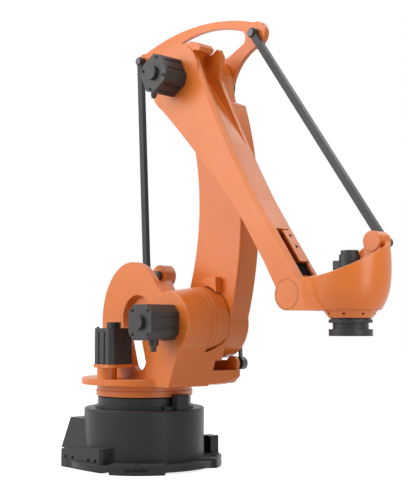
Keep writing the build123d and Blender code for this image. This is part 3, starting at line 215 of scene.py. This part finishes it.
def turned(profile, steps, ring=False):
    """A profile of (radius, height) turned about the z axis: a capped solid, or an open ring."""
    shape = bmesh.new()
    angles = [2 * pi * step / steps for step in range(steps)]
    rings = []
    for radius, height in profile:
        rings.append([shape.verts.new((radius * cos(a), radius * sin(a), height)) for a in angles])
    pairs = list(zip(rings, rings[1:]))
    if ring:
        pairs.append((rings[-1], rings[0]))
    else:
        shape.faces.new(rings[-1])
        shape.faces.new(list(reversed(rings[0])))
    for lower, upper in pairs:
        for i in range(steps):
            shape.faces.new((lower[i], lower[i - 1], upper[i - 1], upper[i]))
    bmesh.ops.recalc_face_normals(shape, faces=shape.faces)
    return shape


def add_piece(name, spots, shape, body, finish):
    """One object that holds a copy of a shape at each spot; a spot is a place and an axis."""
    part = bpy.data.meshes.new(name + "_part")
    shape.to_mesh(part)
    shape.free()
    whole = bmesh.new()
    for place, axis in spots:
        copy = part.copy()
        copy.transform(Matrix.Translation(place) @ axis.to_track_quat("Z", "X").to_matrix().to_4x4())
        whole.from_mesh(copy)
        bpy.data.meshes.remove(copy)
    mesh = bpy.data.meshes.new(name)
    whole.to_mesh(mesh)
    whole.free()
    bpy.data.meshes.remove(part)
    mesh.materials.append(finish)
    thing = bpy.data.objects.new(name, mesh)
    bpy.context.scene.collection.objects.link(thing)
    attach(thing, body)


def cap_screw(radius):
    """Socket head: a low cylinder with a bevelled rim and a recess."""
    sunk = 0.1 * radius
    top = 0.9 * radius
    rim = 0.75 * top
    recess_floor = 0.35 * top
    profile = [
        (radius, -sunk),
        (radius, rim),
        (0.85 * radius, top),
        (0.5 * radius, top),
        (0.45 * radius, recess_floor),
    ]
    return turned(profile, SCREW_STEPS)


def hole_shade_mark(radius):
    """A thin disc painted dark for the shade in the mouth of a small tapped hole."""
    profile = [(radius, -MARK_SUNK), (radius, MARK_SHOULDER), (0.9 * radius, MARK_RISE)]
    return turned(profile, MARK_STEPS)


def box_of(name):
    """Lowest and highest corner of a node's box."""
    low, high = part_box(name)
    return Vector(low), Vector(high)


def centre_of(name):
    """Centre of a node's box."""
    low, high = box_of(name)
    return (low + high) / 2


def side_of(name, axis):
    """Middle of the side of a node's box that looks along an axis."""
    low, high = box_of(name)
    return (low + high + (high - low) * axis) / 2


def square_spots(centre, up, axis, reach, roll):
    """Four corners of a square, rolled by an angle in its own plane."""
    angles = [radians(roll + 45 + 90 * i) for i in range(4)]
    return [(centre + reach * (ALONG_X * cos(a) + up * sin(a)), axis) for a in angles]


# Screws in the end plates of the motors
MOTOR_ROLL = 28.0
MOTOR_SCREW = 0.006
MOTOR_SCREW_REACH = 0.067
for motor, body, up, axis, roll in (
    ("elbow_motor", "forearm", ALONG_Z, -ALONG_Y, MOTOR_ROLL),
    ("shoulder_motor", "column", ALONG_Z, -ALONG_Y, 0.0),
    ("swivel_motor", "column", ALONG_Y, ALONG_Z, 0.0),
):
    spots = square_spots(side_of(motor, axis), up, axis, MOTOR_SCREW_REACH, roll)
    add_piece(motor + "_screws", spots, cap_screw(MOTOR_SCREW), body, screw_black)

# Cable plug on the lower corner of the elbow motor
PLUG_R = 0.013
PLUG_NECK_R = 0.7 * PLUG_R
PLUG_LENGTH = 0.024
PLUG_COLLAR = 0.6 * PLUG_LENGTH
PLUG_NECK = 0.65 * PLUG_LENGTH
PLUG_SET = 0.014
CORNER_REACH = 0.078
LOWER_CORNER = -135.0
corner_turn = radians(MOTOR_ROLL + LOWER_CORNER)
corner = Vector((cos(corner_turn), 0, sin(corner_turn)))
spot = side_of("elbow_motor", -ALONG_Y) + (PLUG_R + PLUG_SET) * ALONG_Y + CORNER_REACH * corner
profile = [(PLUG_R, 0), (PLUG_R, PLUG_COLLAR), (PLUG_NECK_R, PLUG_NECK), (PLUG_NECK_R, PLUG_LENGTH)]
plug = turned(profile, PLUG_STEPS)
add_piece("elbow_motor_plug", [(spot, corner)], plug, "forearm", finishes["motor_black"])

# Two pairs of tapped holes in the near face of the plinth, drawn as discs of painted shade
PLINTH_FACE = -0.301
PLINTH_HOLE = 0.0075
HOLE_HEIGHT = 0.045
PAIR_CENTRE = -0.054
PAIR_NEAR = 0.055
PAIR_FAR = 0.103
steps = (-PAIR_FAR, -PAIR_NEAR, PAIR_NEAR, PAIR_FAR)
spots = [(Vector((PAIR_CENTRE + step, PLINTH_FACE, HOLE_HEIGHT)), -ALONG_Y) for step in steps]
add_piece("plinth_hole_shades", spots, hole_shade_mark(PLINTH_HOLE), "base", hole_shade)

# Screw recesses in the slope of the cone below the wrist, drawn as discs of painted shade
CONE_RECESSES = 8
CONE_RECESS = 0.0045
CONE_TOP = 0.097
CONE_BOTTOM = 0.077
cone_low, cone_high = box_of("wrist_cone")
cone_height = cone_high.z - cone_low.z
cone_r = (CONE_TOP + CONE_BOTTOM) / 2
spots = []
for i in range(CONE_RECESSES):
    turn = 2 * pi * (i + 0.5) / CONE_RECESSES
    out = Vector((cos(turn), sin(turn), 0))
    slope = (cone_height * out - (CONE_TOP - CONE_BOTTOM) * ALONG_Z).normalized()
    spots.append((centre_of("wrist_cone") + cone_r * out, slope))
add_piece("cone_recess_shades", spots, hole_shade_mark(CONE_RECESS), "wrist", hole_shade)

# Round boss on the near face of the lug at the top of the bowl
LUG_BOSS_R = 0.0375
LUG_BOSS_RISE = 0.003
LUG_BOSS_BEVEL = 0.001
LUG_BLIND = 0.014
profile = [
    (LUG_BOSS_R, -LUG_BOSS_BEVEL),
    (LUG_BOSS_R, LUG_BOSS_RISE - LUG_BOSS_BEVEL),
    (LUG_BOSS_R - LUG_BOSS_BEVEL, LUG_BOSS_RISE),
]
boss = turned(profile, ROUND_STEPS)
spot = side_of("wrist_lug_pin", -ALONG_Y) - LUG_BLIND * ALONG_Y
add_piece("wrist_lug_boss", [(spot, -ALONG_Y)], boss, "wrist", finishes["arm_paint"])

# Seal ring in the gap between the cone and the tool flange
SEAL_OUTER = 0.071
SEAL_INNER = 0.046
SEAL_HANG = 0.0043
SEAL_SEAT = 0.0005
profile = [
    (SEAL_OUTER, -SEAL_SEAT),
    (SEAL_OUTER, SEAL_HANG),
    (SEAL_INNER, SEAL_HANG),
    (SEAL_INNER, -SEAL_SEAT),
]
seal = turned(profile, ROUND_STEPS, ring=True)
spot = side_of("wrist_cone", -ALONG_Z)
add_piece("flange_seal", [(spot, -ALONG_Z)], seal, "wrist", finishes["motor_black"])

# Holes in the cover plate of the forearm, which runs from the elbow to the wrist, drawn as discs of painted shade
COVER_HALF_THICK = 0.0035
COVER_HALF_LENGTH = 0.075
COVER_HOLE = 0.0065
COVER_HOLE_PLACES = (-0.050, 0.004)
pivots = {joint["name"]: Vector(joint["pos_m"]) for joint in frame["joints"]}
fore_run = (pivots["wrist_pivot"] - pivots["elbow"]).normalized()
fore_up = fore_run.cross(ALONG_Y).normalized()
cover = centre_of("forearm_cover")
spots = [(cover + COVER_HALF_THICK * fore_up + along * fore_run, fore_up) for along in COVER_HOLE_PLACES]
add_piece("cover_hole_shades", spots, hole_shade_mark(COVER_HOLE), "forearm", hole_shade)

# A dark box in the opening between the cover plate and the wrist: painted shade for the deep inside of the opening
OPENING_LENGTH = 0.064
OPENING_WIDTH = 0.066
OPENING_SIDE = -0.016
OPENING_LOW = -0.074
OPENING_HIGH = -0.012
opening_shade_size = (OPENING_LENGTH, OPENING_WIDTH, OPENING_HIGH - OPENING_LOW)
opening_shade = bmesh.new()
bmesh.ops.create_cube(opening_shade, size=1.0)
bmesh.ops.scale(opening_shade, verts=opening_shade.verts, vec=opening_shade_size)
spot = (
    cover
    + (COVER_HALF_LENGTH + OPENING_LENGTH / 2) * fore_run
    + OPENING_SIDE * ALONG_Y
    + (OPENING_LOW + OPENING_HIGH) / 2 * fore_up
)
add_piece("forearm_opening_shade", [(spot, fore_up)], opening_shade, "forearm", hole_shade)


# Studio

AIM = Vector((0.4, 0.0, 0.95))
WHITE = (1.0, 1.0, 1.0)


def softbox(name, turn, rise, distance, size, glow):
    """A square soft panel that looks at the object, at a turn and rise in degrees."""
    lamp = bpy.data.lights.new(name, "AREA")
    lamp.size = size
    lamp.energy = glow * pi * size * size
    thing = bpy.data.objects.new(name, lamp)
    out = Vector((cos(radians(turn)), sin(radians(turn)), tan(radians(rise)))).normalized()
    thing.location = AIM + distance * out
    thing.rotation_mode = "QUATERNION"
    thing.rotation_quaternion = (AIM - thing.location).to_track_quat("-Z", "Y")
    bpy.context.scene.collection.objects.link(thing)


def seen_rays(tree):
    """1 for what the camera sees, also in a reflection or through glass, and 0 for other light."""
    path = tree.nodes.new("ShaderNodeLightPath")
    seen = path.outputs["Is Camera Ray"]
    for kind in ("Is Glossy Ray", "Is Transmission Ray"):
        either = tree.nodes.new("ShaderNodeMath")
        either.operation = "MAXIMUM"
        tree.links.new(seen, either.inputs[0])
        tree.links.new(path.outputs[kind], either.inputs[1])
        seen = either.outputs[0]
    return seen


softbox("key_panel", turn=-120.0, rise=20.0, distance=5.0, size=3.8, glow=3.6)
softbox("high_panel", turn=-44.0, rise=50.0, distance=2.4, size=1.0, glow=4.5)
softbox("wrist_panel", turn=-4.0, rise=6.0, distance=1.9, size=0.6, glow=6.0)
softbox("low_panel", turn=-6.0, rise=-11.0, distance=2.8, size=0.7, glow=5.0)
softbox("top_panel", turn=-150.0, rise=70.0, distance=4.2, size=2.0, glow=2.4)
softbox("back_panel", turn=78.0, rise=46.0, distance=5.0, size=2.0, glow=3.0)

# The world looks white and lights the object less from the side that the photograph shades
DIM_SIDE = (0.95, 0.2, -0.25)
DIM_SPAN = (-0.6, 0.2)
DIM_GREY = (0.07, 0.07, 0.072)
world = bpy.data.worlds.new("studio")
bpy.context.scene.world = world
world.use_nodes = True
tree = world.node_tree
lean = tree.nodes.new("ShaderNodeVectorMath")
lean.operation = "DOT_PRODUCT"
lean.inputs[1].default_value = DIM_SIDE
tree.links.new(tree.nodes.new("ShaderNodeTexCoord").outputs["Generated"], lean.inputs[0])
sky = mixed(tree, ramp_of(tree, lean.outputs["Value"], *DIM_SPAN), WHITE, DIM_GREY)
backdrop = mixed(tree, seen_rays(tree), sky, WHITE)
tree.links.new(backdrop, tree.nodes["Background"].inputs["Color"])

# Pale floor, lifted towards white where it is seen
FLOOR_HALF = 14.0
FLOOR_GREY = (0.55, 0.55, 0.55)
FLOOR_ROUGH = 0.9
FLOOR_LIFT = 0.8
pale = bpy.data.materials.new("pale_floor")
pale.use_nodes = True
tree = pale.node_tree
surface = tree.nodes["Principled BSDF"]
surface.inputs["Base Color"].default_value = (*FLOOR_GREY, 1.0)
surface.inputs["Roughness"].default_value = FLOOR_ROUGH
surface.inputs["Emission Color"].default_value = (*WHITE, 1.0)
tree.links.new(product(tree, seen_rays(tree), FLOOR_LIFT), surface.inputs["Emission Strength"])
floor_mesh = bpy.data.meshes.new("floor")
corners = [(FLOOR_HALF * x, FLOOR_HALF * y, 0) for x, y in ((-1, -1), (1, -1), (1, 1), (-1, 1))]
floor_mesh.from_pydata(corners, [], [(0, 1, 2, 3)])
floor_mesh.materials.append(pale)
floor = bpy.data.objects.new("floor", floor_mesh)
bpy.context.scene.collection.objects.link(floor)

# Camera of the photograph
CAMERA_PLACE = Vector((3.1713, -2.6346, 0.5936))
CAMERA_HEADING = radians(46.67)
CAMERA_RISE = radians(4.87)
CAMERA_LENS = 68.03
CAMERA_SENSOR = 36.0
eye = bpy.data.cameras.new("photo_camera")
eye.lens = CAMERA_LENS
eye.sensor_width = CAMERA_SENSOR
camera = bpy.data.objects.new("photo_camera", eye)
ahead = Vector((-sin(CAMERA_HEADING), cos(CAMERA_HEADING), tan(CAMERA_RISE)))
camera.location = CAMERA_PLACE
camera.rotation_mode = "QUATERNION"
camera.rotation_quaternion = ahead.to_track_quat("-Z", "Y")
bpy.context.scene.collection.objects.link(camera)
bpy.context.scene.camera = camera
bpy.context.scene.view_settings.view_transform = "Standard"
